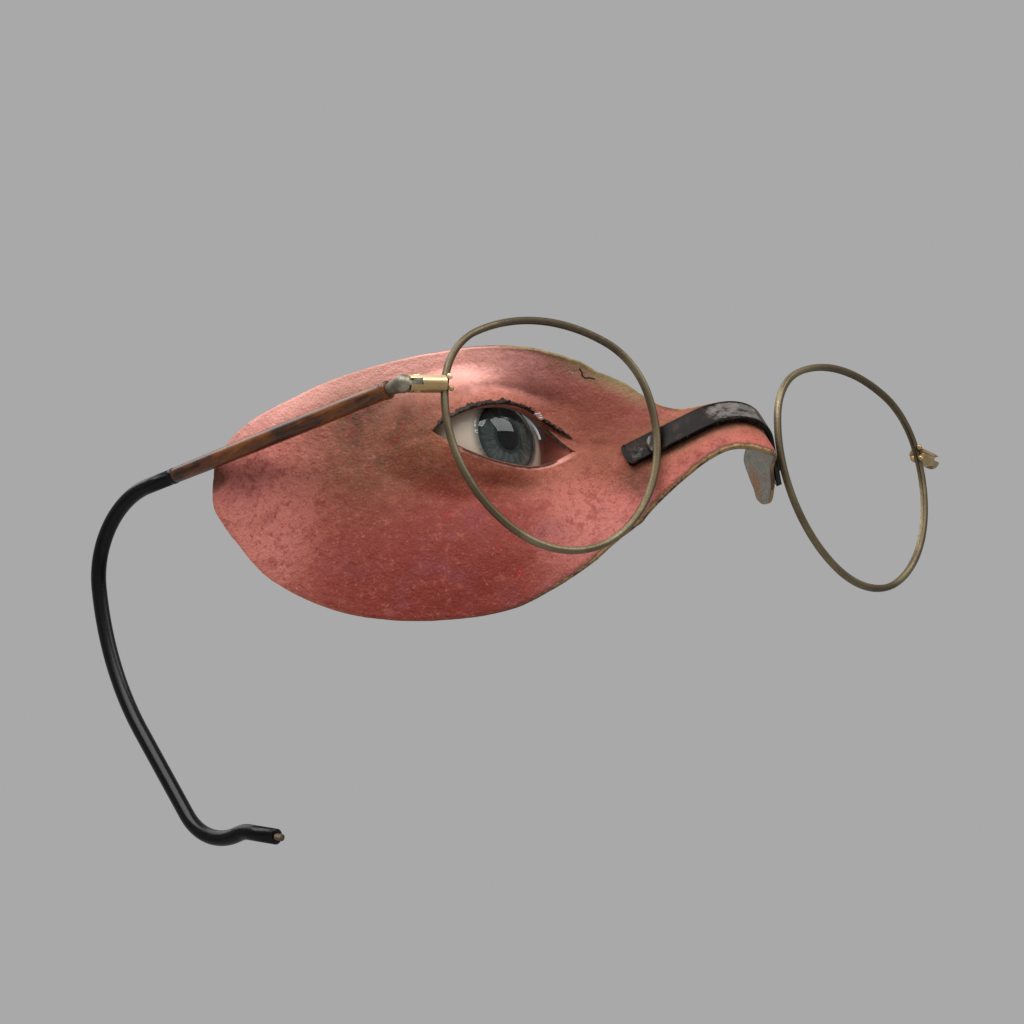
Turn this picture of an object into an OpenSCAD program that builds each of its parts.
// Facial prosthesis: a painted metal plate for the right eye and cheek, soldered to a pair of
// wire spectacles that hold it in place.
// +X is the wearer's left, +Y runs back into the head, +Z is up, all in millimetres.
// The origin is on the back of the plate, where it saddles the bridge of the nose.

/* [Spectacle rims] */
// Distance between the middles of the two rims
lens_sep = 66.5; // [62:0.5:72]
// Distance from the middle of a lens to the middle of the rim's wire beside the nose
nasal_reach = 19.8; // [19.4:0.1:19.8]
// How far the plane of the rims lies behind the saddle of the nose
lens_back = 7.9; // [7.6:0.1:8.2]
// How far the middles of the rims lie below the saddle of the nose
lens_drop = 4.1; // [3:0.1:5]
// Angle by which each rim turns back at its outer side
wrap_angle = 8.5; // [5:0.5:11]
// Radius of the flat arc along the top of a rim
rim_top_r = 29; // [26:0.5:32]
// Half the angle that the top arc spans
rim_top_a = 25; // [22:1:28]
// Radius of the upper corners of a rim
rim_corner_r = 12.5; // [11.5:0.25:14]
// Angle that an upper corner spans
rim_corner_a = 50; // [46:1:54]
// Radius of the arc along the bottom of a rim
rim_bottom_r = 17.5; // [16.5:0.25:19]
// Half the angle that the bottom arc spans
rim_bottom_a = 30; // [26:1:34]
// Width of the rim wire, seen from the front
wire_w = 1.1; // [1:0.05:1.3]
// Depth of the rim wire, from front to back
wire_d = 1.15; // [1.05:0.05:1.3]
// Depth of the groove that holds the lens
groove_d = 0.35; // [0.25:0.05:0.4]

/* [End pieces and hinge] */
// Where the end piece leaves the rim, as an angle above its widest point
endpiece_at = 12; // [6:1:16]
// Angle by which an end piece turns back from the plane of its rim
endpiece_turn = 11; // [6:1:16]
// Radius of the split barrel of an end piece
barrel_r = 1.4; // [1.3:0.05:1.7]
// Length of the barrel from the middle of the rim wire to its flat end
barrel_l = 6; // [5.4:0.1:8]
// Parting gap between the upper and the lower half
parting_gap = 0.12; // [0.08:0.02:0.2]
// Distance from the barrel's flat end to the hinge screw
screw_inset = 1.3; // [1.2:0.05:1.7]
// Radius of the screw's shank
screw_r = 0.6; // [0.5:0.05:0.7]
// Radius of the screw's head
screw_head_r = 0.85; // [0.8:0.05:0.95]
// Depth of the screw's head
screw_head_h = 0.4; // [0.3:0.05:0.45]
// Thickness of the temple's tang
tang_t = 1; // [0.8:0.05:1.1]
// Radial play of the tang on the screw
screw_play = 0.04; // [0.02:0.01:0.06]
// Gap between the barrel's end and the temple's butt, closed when the temple is spread
butt_gap = 0.34; // [0.3:0.02:0.5]

/* [Temple] */
// Outward splay of the temple
splay_angle = 6.5; // [5.5:0.5:9]
// Length of the temple's bare neck
neck_l = 3; // [2.6:0.1:4]
// Radius of the neck
neck_r = 0.95; // [0.8:0.05:1.1]
// Length of the front sleeve
sleeve_l = 48.4; // [44:0.2:52]
// Radius of the front sleeve
sleeve_r = 1.48; // [1.35:0.02:1.55]
// Length of the collar between the two sleeves
collar_l = 0.8; // [0.6:0.1:1.2]
// Radius of the core wire
core_r = 0.55; // [0.45:0.05:0.7]
// Radius of the curl sleeve
curl_r = 1.25; // [1.1:0.05:1.35]
// Straight length of the curl sleeve before the ear bend
curl_lead = 5.8; // [4:0.2:8]
// Radius of the bend over the ear
ear_r = 13.5; // [12:0.5:15]
// Radius of the long bow behind the ear
bow_r = 55; // [45:1:70]
// Angle that the long bow turns
bow_a = 28; // [22:1:32]
// Straight length below the bow
drop_l = 18; // [14:0.5:22]
// Radius of the hook at the foot
hook_r = 11; // [9:0.5:13]
// Angle that the hook turns
hook_a = 69; // [60:1:74]
// Radius of the small return bend before the tip
return_r = 5; // [4:0.5:7]
// Angle of the small return bend
return_a = 27; // [20:1:32]
// Straight length of the curl sleeve at the tip
toe_l = 6.2; // [5:0.2:8]
// Length of the bare core that shows at the tip
tip_l = 1.3; // [0.8:0.1:2]

/* [Bridge strap] */
// Width of the strap
strap_w = 4.2; // [3.6:0.1:4.8]
// Thickness of the strap
strap_t = 0.9; // [0.8:0.05:1]
// Radius of the strap's crest, at its middle
strap_r = 10.5; // [10:0.1:11.5]
// Half the angle that the crest spans
strap_a = 46.5; // [46:0.5:48]
// Length of a straight leg of the strap
strap_leg = 13; // [12:0.2:13.6]
// Backward tilt of the strap and the nose ridge
ridge_tilt = 28.5; // [25:0.5:32]
// Thickness of the solder under the strap
solder_t = 0.2; // [0.15:0.05:0.3]
// Radius of a solder fillet where a rim meets the strap
fillet_r = 1.5; // [1.35:0.05:1.8]

/* [Plate] */
// Thickness of the metal plate
plate_t = 0.8; // [0.6:0.05:1]
// Half the width of the head at the temples
head_half_w = 65.2; // [64.6:0.1:65.4]
// Depth of the head from the face to the temples
head_depth = 80; // [74:1:84]
// How far the face lies behind the plane of the rims
face_back = 4; // [3.6:0.1:4.6]
// Depth of the hollow round the eye
socket_depth = 6; // [5:0.2:7]
// Forward swell of the brow
brow_swell = 3.5; // [2.5:0.1:4.5]
// Forward swell of the cheekbone
cheek_swell = 3; // [2:0.1:4]
// Depth of the fold above the upper lid
fold_depth = 0.7; // [0.4:0.1:0.8]
// Depth of the hollow beside the nose, behind the lower part of the rim
trough_depth = 2.6; // [2.2:0.1:3]
// How strongly the pad on the far side of the nose curls in, per millimetre squared
pad_curl = 0.12; // [0.06:0.01:0.16]

/* [Eye] */
// Radius of the eye shell
eye_r = 14; // [13.6:0.1:14.6]
// Wall of the eye shell
eye_wall = 1; // [0.8:0.05:1.3]
// How far the front of the eye shell lies behind the plane of the rims
eye_back = 9.8; // [9.4:0.1:10.2]
// Height of the pupil above the middle of the rim
pupil_rise = 3; // [2:0.1:4]
// Distance from the eye shell to the face of the lids
lid_stand = 1.55; // [1.5:0.05:1.8]
// Gap between the eye shell and the turned-in edge of the lids
lid_gap = 0.25; // [0.2:0.05:0.3]
// Radius of the iris
iris_r = 5.85; // [5.6:0.05:6]
// Radius of the pupil
pupil_r = 2; // [1.5:0.1:2.4]
// How far the cornea stands out of the eye shell
cornea_rise = 0.75; // [0.5:0.05:0.85]
// Length of a lash of the upper lid
upper_lash_l = 2.6; // [1.5:0.1:3.5]
// Length of a lash of the lower lid
lower_lash_l = 1.3; // [0.8:0.1:2]

/* [Hidden] */

$fn = 96;
eps = 0.01;
far = 100;
weld = 0.01;
weld_a = 0.15;

// Rim: four tangent arcs, mirrored; a normal angle q is 0 at the outer side and 90 at the top
function polar(r, a) = [r * cos(a), r * sin(a)];
rim_corner_end = rim_top_a + rim_corner_a;
rim_side_r = (rim_bottom_r * sin(rim_bottom_a) - rim_corner_r * sin(rim_corner_end)
              - (rim_top_r - rim_corner_r) * sin(rim_top_a))
             / (sin(rim_bottom_a) - sin(rim_corner_end));
rim_corner_c = polar(rim_top_r - rim_corner_r, 90 - rim_top_a);
rim_side_c = rim_corner_c + polar(rim_corner_r - rim_side_r, 90 - rim_corner_end);
rim_bottom_c = rim_side_c + polar(rim_side_r - rim_bottom_r, rim_bottom_a - 90);
rim_mid_z = (rim_top_r + rim_bottom_c[1] - rim_bottom_r) / 2;
rim_end = rim_side_c + polar(rim_side_r, endpiece_at) - [0, rim_mid_z];
// A wider rim grows outwards, because the bridge keeps its inner side where it is
rim_shift = rim_side_c[0] + rim_side_r - nasal_reach;

// Left end piece: local x runs outward along the barrel, from the middle of the rim wire
barrel_a = wrap_angle + endpiece_turn;
end_x = lens_sep / 2 + (rim_end[0] + rim_shift) * cos(wrap_angle);
end_y = lens_back + (rim_end[0] + rim_shift) * sin(wrap_angle);
end_z = rim_end[1] - lens_drop;
screw_at = barrel_l - screw_inset;
slot_clear = 0.02;
slot_h = tang_t + 2 * slot_clear;
ear_clear = 0.15;
tang_r = screw_inset + 0.05;
spot_z = barrel_r - 0.1;
head_z = spot_z - screw_head_h;

// Temple: its line starts outside the barrel's end, one butt length past the gap
butt_l = 0.6;
knee_lip = 0.1;
knee_at = barrel_l + butt_gap + butt_l;
knee_x = end_x + knee_at * cos(barrel_a);
knee_y = end_y + knee_at * sin(barrel_a);
core_clear = 0.01;
curl_path = [[curl_lead, 0], [ear_r, 90], [bow_r, bow_a], [drop_l, 0], [hook_r, hook_a],
             [return_r, -return_a], [toe_l, 0]];
core_path = concat([[neck_l / 2 + sleeve_l + collar_l + curl_lead, 0]],
                   [for (i = [1 : len(curl_path) - 2]) curl_path[i]], [[toe_l + tip_l, 0]]);
core_path_from_curl = concat(curl_path, [[tip_l, 0]]);
sleeve_start = neck_l;
collar_start = sleeve_start + sleeve_l;
curl_start = collar_start + collar_l;

// Nose arch of the plate: an arc and straight flanks, in a plane that tilts back
arch_drop = plate_t + solder_t + strap_t / 2;
arch_mid = strap_r - arch_drop;
arch_r = strap_r - strap_t / 2 - solder_t;
arch_half = arch_r * sin(strap_a);
crest_y = -plate_t * cos(ridge_tilt);
crest_z = plate_t * sin(ridge_tilt);
function arch_sag(x) = let (s = abs(x), c = min(s, arch_half))
    arch_r - sqrt(arch_r * arch_r - c * c) + max(s - arch_half, 0) * tan(strap_a);
pad_from = 15;
function nose_y(x, z) = crest_y + arch_sag(x) / cos(ridge_tilt) + (z - crest_z) * tan(ridge_tilt)
    + pad_curl * pow(max(x - pad_from, 0), 2) + trough_depth * bump((x + 18) / 7, (z + 14) / 7);

// Head and eye region
pupil_x = -lens_sep / 2;
pupil_z = pupil_rise - lens_drop;
eye_front = lens_back + eye_back;
eye_mid_y = eye_front + eye_r;
head_power = 2.6;
function bump(u, v) = exp(-u * u - v * v);
function blend(a, b, k) = let (h = min(max(0.5 + 0.5 * (b - a) / k, 0), 1))
    b * (1 - h) + a * h - k * h * (1 - h);
function head_y(x) = lens_back + face_back + head_depth
    * (1 - pow(1 - pow(min(abs(x) / head_half_w, 0.9998), head_power), 1 / head_power));
function socket_y(x, z) = socket_depth * bump((x - pupil_x) / 15, (z - pupil_z - 3) / 10);
function brow_y(x, z) = brow_swell * bump((x - pupil_x - 8) / 30, (z - pupil_z - 24) / 9);
function cheek_y(x, z) = cheek_swell * bump((x - pupil_x + 11) / 16, (z - pupil_z + 21) / 13);
function lid_y(x, z) = let (r = eye_r + lid_stand, d = pow(x - pupil_x, 2) + pow(z - pupil_z, 2))
    d < 0.98 * r * r ? eye_mid_y - sqrt(r * r - d) : far;
function fold_z(x) = pupil_z + 9 - 0.026 * pow(x - pupil_x - 1, 2);
function fold_y(x, z) = fold_depth * bump((x - pupil_x) / 11, (z - fold_z(x)) / 1.5);
function far_y(x) = 0.4 * pow(max(x, 0), 2);
function face_y(x, z) = blend(head_y(x) + socket_y(x, z) - brow_y(x, z) - cheek_y(x, z),
                              lid_y(x, z), 3) + fold_y(x, z) + far_y(x);
// The blend between nose and face is tight under the strap's foot and soft elsewhere
foot_x = -15;
foot_z = -7;
function blend_k(x, z) = 9 - 7 * bump((x - foot_x) / 7, (z - foot_z) / 9);
function plate_y(x, z) = blend(nose_y(x, z), face_y(x, z), blend_k(x, z));

// The plate is laid out in the flat: u runs round the head, v up from the strap's middle line
deg = 180 / PI;
function flat_u(x) = head_half_w * asin(x / head_half_w) / deg;
function flat_x(u) = head_half_w * sin(deg * u / head_half_w);
near_limit = -17;
function strap_z(x) = crest_z - sin(ridge_tilt) * arch_sag(max(x, near_limit));
function plate_pt(u, v) = let (x = flat_x(u), z = strap_z(x) + v) [x, plate_y(x, z), z];

// Cut edge of the plate as (u, v), from the pad on the far side of the nose to the temple and back
edge_upper = [[19.91, 0.6], [19.49, 2.4], [18.97, 4.6], [17.82, 6.9], [13.6, 5.9], [8.02, 3.2],
              [2, 2.5], [-5.51, 2.7], [-8.63, 4.4], [-10.65, 7.6], [-13.29, 12.4], [-17.82, 16.6],
              [-23.93, 18.6], [-34.6, 20], [-46.95, 19.5], [-60.03, 18.1], [-69.78, 16],
              [-76.98, 13.8], [-81.58, 10.2]];
edge_lower = [[-82.9, 6.4], [-83.24, 1.4], [-80.65, -5], [-76.98, -12], [-70.62, -18.2],
              [-61.54, -22.9], [-50.08, -24.9], [-39.34, -23.9], [-29.38, -19.2], [-20.64, -12.9],
              [-14.72, -9], [-9.43, -6.4], [-5.51, -5.9], [-2, -6.4], [2, -6.9], [6.01, -5.5],
              [11.05, -2.7], [15.86, -1.6], [18.86, -1.4]];
edge_loop = concat(edge_upper, edge_lower);
edge_n = len(edge_loop);
edge_steps = 4;
ring_n = edge_n * edge_steps;
upper_n = len(edge_upper) * edge_steps;
function spline(a, b, c, d, t) = 0.5 * (2 * b + (c - a) * t + (2 * a - 5 * b + 4 * c - d) * t * t
                                        + (3 * b - a - 3 * c + d) * t * t * t);
function edge_pt(i) = let (j = floor(i / edge_steps))
    spline(edge_loop[(j + edge_n - 1) % edge_n], edge_loop[j], edge_loop[(j + 1) % edge_n],
           edge_loop[(j + 2) % edge_n], i / edge_steps - j);

// Lid opening: two curves between the corners of the eye, measured from the pupil
inner_corner = [12.4, -1];
outer_corner = [-12.4, 0.8];
upper_pull = [[7, 6.4], [-7, 6]];
lower_pull = [[-7.5, -7.2], [7, -6.6]];
function bezier(a, b, c, d, t) = pow(1 - t, 3) * a + 3 * t * pow(1 - t, 2) * b
    + 3 * t * t * (1 - t) * c + t * t * t * d;
function lid_curve(t) = t <= 1
    ? bezier(inner_corner, upper_pull[0], upper_pull[1], outer_corner, t)
    : bezier(outer_corner, lower_pull[0], lower_pull[1], inner_corner, t - 1);
function lid_flat(t) = let (p = lid_curve(t) + [pupil_x, pupil_z])
    [flat_u(p[0]), p[1] - strap_z(p[0])];
// The points crowd at the inner corner, where the rows to the tongue start
crowd = 1.7;
function lid_pt(i) = lid_flat(i <= upper_n
    ? pow(i / upper_n, crowd)
    : 2 - pow(1 - (i - upper_n) / (ring_n - upper_n), crowd));

// Rows to the tongue run along its middle line and spread to its edges near their ends
function ease(t) = let (c = min(max(t, 0), 1)) c * c * (3 - 2 * c);
function mid_v(x) = -2.2 + 4.3 * ease((x - 4) / 9);
function tongue_v(a, b, u, t) = a * (1 - ease(2 * t)) + mid_v(flat_x(u)) * ease(2 * t)
    + pow(t, 3) * b;
function row_pt(i, t) = let (a = lid_pt(i), b = edge_pt(i), w = ease((b[0] + 17) / 9),
    u = a[0] * (1 - t) + b[0] * t, line_v = a[1] * (1 - t) + b[1] * t)
    [u, line_v * (1 - w) + tongue_v(a[1], b[1] - mid_v(flat_x(b[0])), u, t) * w];

// Surface points, with the back of the plate offset along the surface normal
step = 0.05;
function back_normal(p) = let (
    gx = (plate_y(p[0] + step, p[2]) - plate_y(p[0] - step, p[2])) / (2 * step),
    gz = (plate_y(p[0], p[2] + step) - plate_y(p[0], p[2] - step)) / (2 * step))
    [-gx, 1, -gz] / norm([gx, 1, gz]);
function plate_back(x, z) = plate_y(x, z) + (plate_t + lug_clear) / back_normal([x, 0, z])[1];
rows = [0, 0.04, 0.09, 0.15, 0.21, 0.27, 0.33, 0.4, 0.48, 0.56, 0.65, 0.74, 0.83, 0.92, 1];
row_n = len(rows);
front_pts = [for (t = rows) [for (i = [0 : ring_n - 1])
    let (p = row_pt(i, t)) plate_pt(p[0], p[1])]];
function lid_margin(p) = let (r = eye_r + lid_gap,
    d = pow(p[0] - pupil_x, 2) + pow(p[2] - pupil_z, 2))
    [p[0], eye_mid_y - sqrt(max(r * r - d, 1)), p[2]];
back_pts = [for (j = [0 : row_n - 1]) [for (p = front_pts[j])
    j == 0 ? lid_margin(p) : p + plate_t * back_normal(p)]];
function flatten(l) = [for (a = l) for (b = a) b];
function quad(a, b, c, d) = [[a, b, c], [a, c, d]];

module right_side() {
    mirror([1, 0, 0])
        children();
}

// Moves a shape drawn round the middle of the left rim to its place on the left
module at_left_rim() {
    translate([lens_sep / 2, lens_back, -lens_drop])
        rotate([0, 0, wrap_angle])
            translate([rim_shift, 0, 0])
                children();
}

module at_left_end() {
    translate([end_x, end_y, end_z])
        rotate([0, 0, barrel_a])
            children();
}

// Right temple: local x runs back along the temple from its knee
module at_temple() {
    translate([-knee_x, knee_y, end_z])
        rotate([0, 0, 90 + splay_angle])
            children();
}

// Section of the rim wire: x points out of the rim, with the lens groove on the inner side
module wire_section(grooved, grow) {
    half_w = wire_w / 2 + grow;
    half_d = wire_d / 2 + grow;
    cut = grooved ? groove_d : 0;
    bevel = wire_w * 0.27;
    lip = wire_w * 0.12;
    polygon([[-half_w + lip, -half_d], [half_w - bevel, -half_d], [half_w, -half_d + bevel],
             [half_w, half_d - bevel], [half_w - bevel, half_d], [-half_w + lip, half_d],
             [-half_w, half_d - lip], [-half_w, cut + eps], [-half_w + cut + eps / 2, 0],
             [-half_w, -cut - eps], [-half_w, -half_d + lip]]);
}

// An arc of rim wire round the centre c, from normal angle a to b, standing in the XZ plane
module rim_arc(c, r, a, b, grooved, grow = 0) {
    translate([0, 0, -rim_mid_z])
        rotate([90, 0, 0])
            translate(c)
                rotate([0, 0, a])
                    rotate_extrude(angle = b - a)
                        translate([r, 0])
                            wire_section(grooved, grow);
}

// A hair-thin band that welds two arcs where they meet
module rim_weld(c, r, a) {
    rim_arc(c, r, a - weld_a, a + weld_a, true, weld);
}

module rim_half(grooved) {
    rim_arc([0, 0], rim_top_r, 90 - rim_top_a, 90, grooved);
    rim_arc(rim_corner_c, rim_corner_r, 90 - rim_corner_end, 90 - rim_top_a, grooved);
    rim_arc(rim_side_c, rim_side_r, rim_bottom_a - 90, 90 - rim_corner_end, grooved);
    rim_arc(rim_bottom_c, rim_bottom_r, -90, rim_bottom_a - 90, grooved);
    rim_weld([0, 0], rim_top_r, 90);
    rim_weld(rim_corner_c, rim_corner_r, 90 - rim_top_a);
    rim_weld(rim_side_c, rim_side_r, 90 - rim_corner_end);
    rim_weld(rim_side_c, rim_side_r, rim_bottom_a - 90);
    rim_weld(rim_bottom_c, rim_bottom_r, -90);
}

// A whole eye wire, cut through at the parting of its end piece
module left_eye_wire() {
    at_left_rim() {
        difference() {
            union() {
                rim_half(true);
                right_side() rim_half(true);
            }
            translate([rim_end[0], 0, rim_end[1]])
                cube([wire_w * 3, wire_d * 3, parting_gap], center = true);
        }
    }
}

module right_rim() {
    color("darkkhaki")
        right_side() left_eye_wire();
}

module left_rim() {
    color("darkkhaki")
        left_eye_wire();
}

// One half of an end piece, upper or lower: a half barrel with a slotted, bored ear
module left_endpiece(upper) {
    side = upper ? 1 : -1;
    difference() {
        at_left_end() {
            difference() {
                rotate([0, 90, 0])
                    cylinder(h = barrel_l, r = barrel_r);
                translate([-far / 2, -far / 2, upper ? parting_gap / 2 - far : -parting_gap / 2])
                    cube(far);
                translate([screw_at, 0, -slot_h / 2])
                    cylinder(h = slot_h, r = tang_r + ear_clear);
                translate([screw_at, -barrel_r - eps, -slot_h / 2])
                    cube([screw_inset + eps, 2 * barrel_r + 2 * eps, slot_h]);
                translate([screw_at, 0, -far / 2])
                    cylinder(h = far, r = screw_r);
                translate([screw_at, 0, upper ? head_z : -spot_z - far])
                    cylinder(h = far, r = screw_head_r + slot_clear);
            }
        }
        at_left_rim()
            rim_arc(rim_side_c, rim_side_r, 0, 2 * endpiece_at, false);
    }
}

module right_endpiece_upper() {
    color("burlywood")
        right_side() left_endpiece(true);
}

module right_endpiece_lower() {
    color("burlywood")
        right_side() left_endpiece(false);
}

module left_endpiece_upper() {
    color("burlywood")
        left_endpiece(true);
}

module left_endpiece_lower() {
    color("burlywood")
        left_endpiece(false);
}

module hinge_screw() {
    color("goldenrod")
        right_side() at_left_end() translate([screw_at, 0, 0]) {
            difference() {
                union() {
                    translate([0, 0, -spot_z])
                        cylinder(h = spot_z + head_z, r = screw_r);
                    translate([0, 0, head_z])
                        cylinder(h = screw_head_h, r = screw_head_r);
                }
                translate([0, 0, spot_z])
                    cube([2 * screw_head_r + 1, 0.25, 2 * screw_head_h * 0.5], center = true);
            }
        }
}

// The temple's hinge end: a bored tang in the barrel's slot, a butt, a knee and the neck.
// The butt, knee and neck are cut off square, one gap from the barrel's end.
module temple_butt() {
    color("silver") {
        right_side() at_left_end() {
            difference() {
                union() {
                    translate([screw_at, 0, -tang_t / 2])
                        cylinder(h = tang_t, r = tang_r);
                    translate([screw_at, -tang_r * 0.7, -tang_t / 2])
                        cube([screw_inset + butt_gap + butt_l / 2, tang_r * 1.4, tang_t]);
                }
                translate([screw_at, 0, -far / 2])
                    cylinder(h = far, r = screw_r + screw_play);
            }
        }
        difference() {
            union() {
                right_side() at_left_end() {
                    translate([knee_at - butt_l * 1.5, 0, 0])
                        rotate([0, 90, 0])
                            cylinder(h = butt_l * 1.5, r = barrel_r);
                    translate([knee_at, 0, 0])
                        sphere(r = barrel_r + knee_lip);
                }
                at_temple()
                    rotate([0, 90, 0])
                        cylinder(h = neck_l, r1 = barrel_r, r2 = neck_r);
            }
            right_side() at_left_end() translate([barrel_l + butt_gap - far, -far / 2, -far / 2])
                cube(far);
            at_temple() translate([neck_l / 2, 0, 0])
                rotate([0, 90, 0])
                    cylinder(h = neck_l, r = core_r);
        }
    }
}

// A bent rod: each step is [length, 0] or [bend radius, angle], and a positive angle bends down.
// A bead a hair wider than the rod welds each pair of steps.
module bent_rod(path, r, i = 0) {
    if (i < len(path)) {
        size = path[i][0];
        turn = path[i][1];
        if (turn == 0) {
            rotate([0, 90, 0])
                cylinder(h = size, r = r);
            translate([size, 0, 0])
                rod_rest(path, r, i + 1);
        } else {
            dir = sign(turn);
            rotate([dir < 0 ? 180 : 0, 0, 0])
                translate([0, 0, -size])
                    rotate([0, -90, 0])
                        rotate([-90, 0, 0])
                            rotate_extrude(angle = abs(turn))
                                translate([size, 0])
                                    circle(r = r);
            translate([size * sin(abs(turn)), 0, -dir * size * (1 - cos(turn))])
                rotate([0, turn, 0])
                    rod_rest(path, r, i + 1);
        }
    }
}

module rod_rest(path, r, i) {
    if (i < len(path)) {
        sphere(r = r + weld);
        bent_rod(path, r, i);
    }
}

module temple_core() {
    color("peru")
        at_temple() translate([neck_l / 2, 0, 0])
            bent_rod(core_path, core_r);
}

// Front sleeve: a turned tube with a lip in front that tapers to the curl sleeve's size
module temple_sleeve() {
    bore = core_r + core_clear;
    lip = 0.12;
    color("saddlebrown")
        at_temple() translate([sleeve_start, 0, 0])
            rotate([0, 90, 0])
                rotate_extrude()
                    polygon([[bore, 0], [sleeve_r - lip, 0], [sleeve_r, lip * 2],
                             [sleeve_r, lip * 8], [sleeve_r - lip, lip * 11],
                             [sleeve_r - lip / 2, sleeve_l / 3], [sleeve_r - lip, sleeve_l * 0.8],
                             [curl_r, sleeve_l], [bore, sleeve_l]]);
}

module temple_collar() {
    bore = core_r + core_clear;
    lip = 0.06;
    color("black")
        at_temple() translate([collar_start, 0, 0])
            rotate([0, 90, 0])
                rotate_extrude()
                    polygon([[bore, 0], [curl_r, 0], [curl_r + lip, lip * 2],
                             [curl_r + lip, collar_l - lip * 2], [curl_r, collar_l],
                             [bore, collar_l]]);
}

module curl_sleeve() {
    color("black")
        at_temple() translate([curl_start, 0, 0])
            difference() {
                bent_rod(curl_path, curl_r);
                bent_rod(core_path_from_curl, core_r + core_clear);
            }
}

// Shapes in the plane of the nose arch: x across, y down the flank, z along the ridge
module at_arch() {
    rotate([-ridge_tilt, 0, 0])
        children();
}

module bar_section(t, w) {
    round_r = t * 0.3;
    difference() {
        square([t, w], center = true);
        for (sx = [-1, 1], sy = [-1, 1]) {
            translate([sx * t / 2, sy * w / 2])
                difference() {
                    square(2 * round_r, center = true);
                    translate([-sx * round_r, -sy * round_r])
                        circle(r = round_r);
                }
        }
    }
}

module arch_bar(r, t, w, leg) {
    translate([0, arch_mid, 0]) {
        rotate([0, 0, 270 - strap_a])
            rotate_extrude(angle = 2 * strap_a)
                translate([r, 0])
                    bar_section(t, w);
        for (s = [-1, 1]) {
            rotate([0, 0, 270 + s * strap_a])
                translate([r, 0, 0])
                    rotate([0, 0, s > 0 ? 90 : -90])
                        arch_leg(t, w, leg);
        }
    }
}

// A leg runs along local x and ends in a foot with rounded corners
module arch_leg(t, w, leg) {
    toe = w * 0.2;
    rotate([90, 0, 90])
        linear_extrude(leg - toe)
            bar_section(t, w);
    rotate([90, 0, 0])
        linear_extrude(t * 0.94, center = true)
            difference() {
                translate([leg - toe - eps, -w / 2 + t * 0.03])
                    square([toe + eps, w - t * 0.06]);
                for (s = [-1, 1]) {
                    difference() {
                        translate([leg, s * w / 2])
                            square(2 * toe, center = true);
                        translate([leg - toe, s * (w / 2 - toe)])
                            circle(r = toe - t * 0.03);
                    }
                }
            }
}

module bridge_strap() {
    color("black")
        at_arch()
            arch_bar(strap_r, strap_t, strap_w, strap_leg);
}

module strap_solder() {
    color("dimgray")
        at_arch()
            arch_bar(strap_r - strap_t / 2 - solder_t / 2, solder_t, strap_w * 0.8,
                     strap_leg * 0.9);
}

// Solder where each rim crosses the strap's leg: a bead behind the wire, on the strap's face
cross_x = lens_sep / 2 - nasal_reach * cos(wrap_angle);
cross_y = lens_back - nasal_reach * sin(wrap_angle) + wire_d / 2;
leg_sag = arch_sag(cross_x) - solder_t - strap_t / 2 - plate_t;
cross_z = -leg_sag * sin(ridge_tilt);

module left_rim_solder() {
    difference() {
        translate([cross_x, cross_y, cross_z])
            sphere(r = fillet_r);
        at_left_rim()
            translate([-far / 2, wire_d / 2 - far, -far / 2])
                cube(far);
        at_arch()
            translate([0, arch_mid, 0])
                rotate([0, 0, 270 + strap_a])
                    translate([strap_r + strap_t / 2 - far, -far / 2, -far / 2])
                        cube(far);
    }
}

module rim_solder() {
    color("gray") {
        left_rim_solder();
        right_side() left_rim_solder();
    }
}

// The plate: a ring of rows between the lid opening and the cut edge, front and back
module mask_plate() {
    layer = ring_n * row_n;
    pts = concat(flatten(front_pts), flatten(back_pts));
    front = [for (j = [0 : row_n - 2]) for (i = [0 : ring_n - 1]) let (n = (i + 1) % ring_n)
        for (f = quad(j * ring_n + i, j * ring_n + n, (j + 1) * ring_n + n, (j + 1) * ring_n + i))
            f];
    back = [for (f = front) [layer + f[2], layer + f[1], layer + f[0]]];
    rim = [for (i = [0 : ring_n - 1]) let (n = (i + 1) % ring_n, last = (row_n - 1) * ring_n)
        for (f = concat(quad(i, layer + i, layer + n, n),
                        quad(last + i, last + n, layer + last + n, layer + last + i)))
            f];
    color("indianred")
        polyhedron(points = pts, faces = concat(front, back, rim));
}

module at_eye() {
    translate([pupil_x, eye_front, pupil_z])
        rotate([-90, 0, 0])
            children();
}

// Local z runs back from the front of the eye shell
module eye_shell() {
    shell_depth = eye_r - 2;
    color("ivory")
        at_eye() {
            difference() {
                translate([0, 0, eye_r])
                    sphere(r = eye_r);
                translate([0, 0, eye_r])
                    sphere(r = eye_r - eye_wall);
                translate([-far / 2, -far / 2, shell_depth])
                    cube(far);
                cylinder(h = 6 * eye_wall, r = iris_r, center = true);
            }
        }
}

iris_front = eye_r - sqrt(eye_r * eye_r - iris_r * iris_r) + 0.2;
disc_play = 0.02;
iris_t = 0.7;
pupil_t = 0.3;

module eye_iris() {
    color("slategray")
        at_eye() {
            difference() {
                translate([0, 0, iris_front])
                    cylinder(h = iris_t, r = iris_r - disc_play);
                cylinder(h = iris_front + pupil_t, r = pupil_r);
            }
        }
}

module eye_pupil() {
    color("black")
        at_eye()
            translate([0, 0, iris_front])
                cylinder(h = pupil_t, r = pupil_r - disc_play);
}

module eye_cornea() {
    depth = iris_front + cornea_rise;
    dome_r = (depth * depth + iris_r * iris_r) / (2 * depth);
    color("lightcyan")
        at_eye()
            intersection() {
                translate([0, 0, dome_r - cornea_rise])
                    sphere(r = dome_r);
                translate([0, 0, -far / 2])
                    cylinder(h = far / 2 + iris_front, r = iris_r - disc_play);
            }
}

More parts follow.
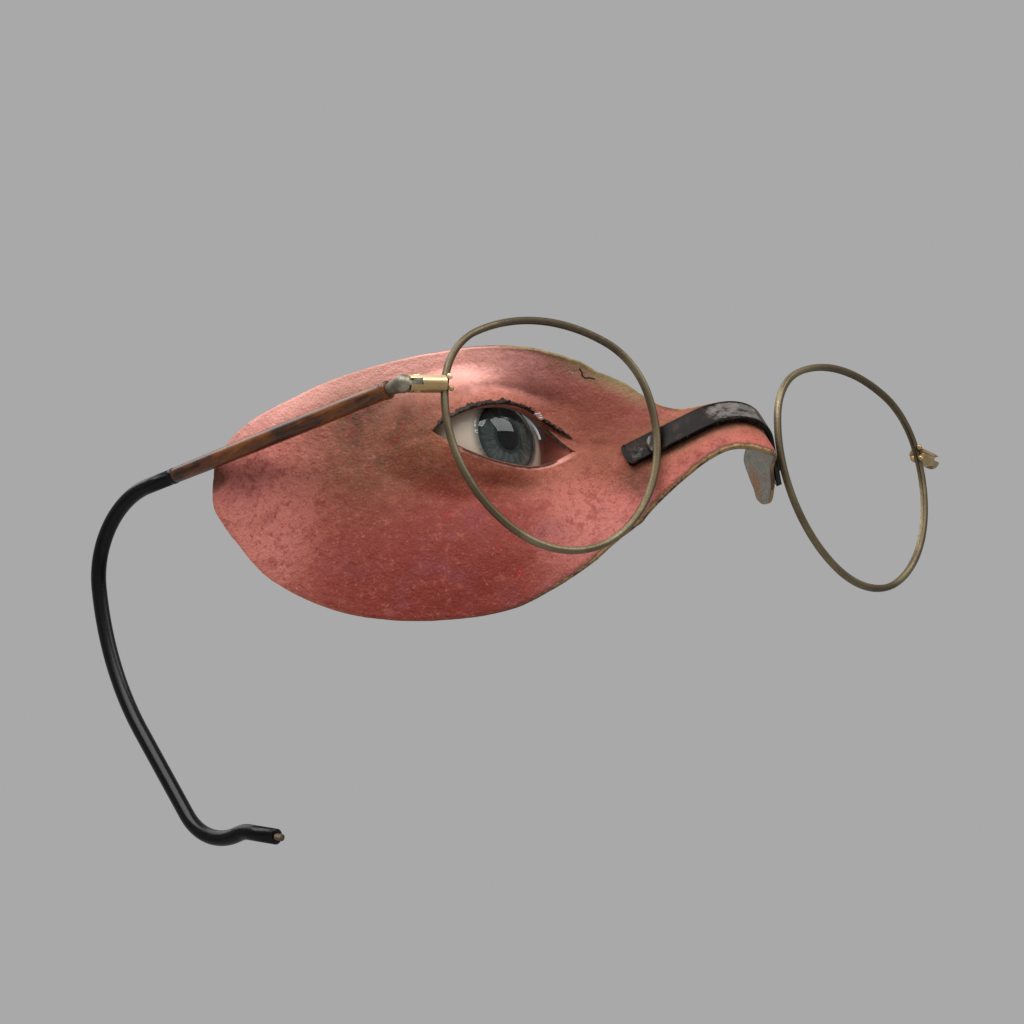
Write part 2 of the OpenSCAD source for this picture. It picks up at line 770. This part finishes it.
// Three soft metal lugs on the back of the plate, turned in over the eye shell's edge
lug_w = 3;
lug_t = 0.5;
lug_at = eye_r + 0.15;
lug_angles = [80, 200, 320];
lug_clear = 0.05;

module eye_lugs() {
    color("lightslategray")
        for (a = lug_angles) {
            start = max([for (r = [lug_at, lug_at + lug_t], w = [-lug_w / 2, lug_w / 2])
                plate_back(pupil_x + r * cos(a) - w * sin(a),
                           pupil_z + r * sin(a) + w * cos(a))]) - eye_front;
            end = eye_r - 1.5;
            at_eye()
                rotate([0, 0, -a])
                    translate([lug_at, -lug_w / 2, start]) {
                        cube([lug_t, lug_w, end - start + lug_t]);
                        translate([-lug_t * 4, 0, end - start])
                            cube([lug_t * 4, lug_w, lug_t]);
                    }
        }
}

// Lashes: a foil strip along the lid, cut into points that stand forward of it
foil_t = 0.12;
lash_clear = 0.04;
foil_root = 0.5;
lash_teeth = 22;

module lash_strip(t0, t1, length, droop) {
    n = lash_teeth * 2;
    m = n + 1;
    spots = [for (i = [0 : n]) lid_flat(t0 + (t1 - t0) * i / n)];
    root = [for (p = spots) plate_pt(p[0], p[1])];
    band = [for (p = spots) plate_pt(p[0], p[1] + sign(droop) * foil_root)];
    function lift(p) = p - back_normal(p) * lash_clear;
    function thick(p) = lift(p) + foil_t * ([0, 0, sign(droop)] - 0.6 * back_normal(p));
    function reach(i) = (i % 2) * length * (0.35 + 0.65 * sin(180 * i / n));
    tips = [for (i = [0 : n]) lift(root[i]) + reach(i) * ([0, 0, droop] - back_normal(root[i]))];
    pts = concat([for (p = band) lift(p)], tips, [for (p = band) thick(p)],
                 [for (i = [0 : n]) tips[i] + thick(root[i]) - lift(root[i])]);
    faces = concat(
        [for (i = [0 : n - 1]) for (f = quad(i, i + 1, m + i + 1, m + i)) f],
        [for (i = [0 : n - 1]) for (f = quad(2 * m + i, 3 * m + i, 3 * m + i + 1, 2 * m + i + 1)) f],
        [for (i = [0 : n - 1]) for (f = quad(i, 2 * m + i, 2 * m + i + 1, i + 1)) f],
        [for (i = [0 : n - 1]) for (f = quad(m + i, m + i + 1, 3 * m + i + 1, 3 * m + i)) f],
        quad(0, m, 3 * m, 2 * m),
        quad(n, 2 * m + n, 3 * m + n, m + n));
    polyhedron(points = pts, faces = faces);
}

module upper_lashes() {
    color("darkslategray")
        lash_strip(0.12, 0.97, upper_lash_l, 0.35);
}

module lower_lashes() {
    color("darkslategray")
        lash_strip(1.1, 1.75, lower_lash_l, -0.5);
}

mask_plate();
eye_shell();
eye_iris();
eye_pupil();
eye_cornea();
eye_lugs();
upper_lashes();
lower_lashes();
bridge_strap();
strap_solder();
rim_solder();
right_rim();
left_rim();
right_endpiece_upper();
right_endpiece_lower();
left_endpiece_upper();
left_endpiece_lower();
hinge_screw();
temple_butt();
temple_core();
temple_sleeve();
temple_collar();
curl_sleeve();
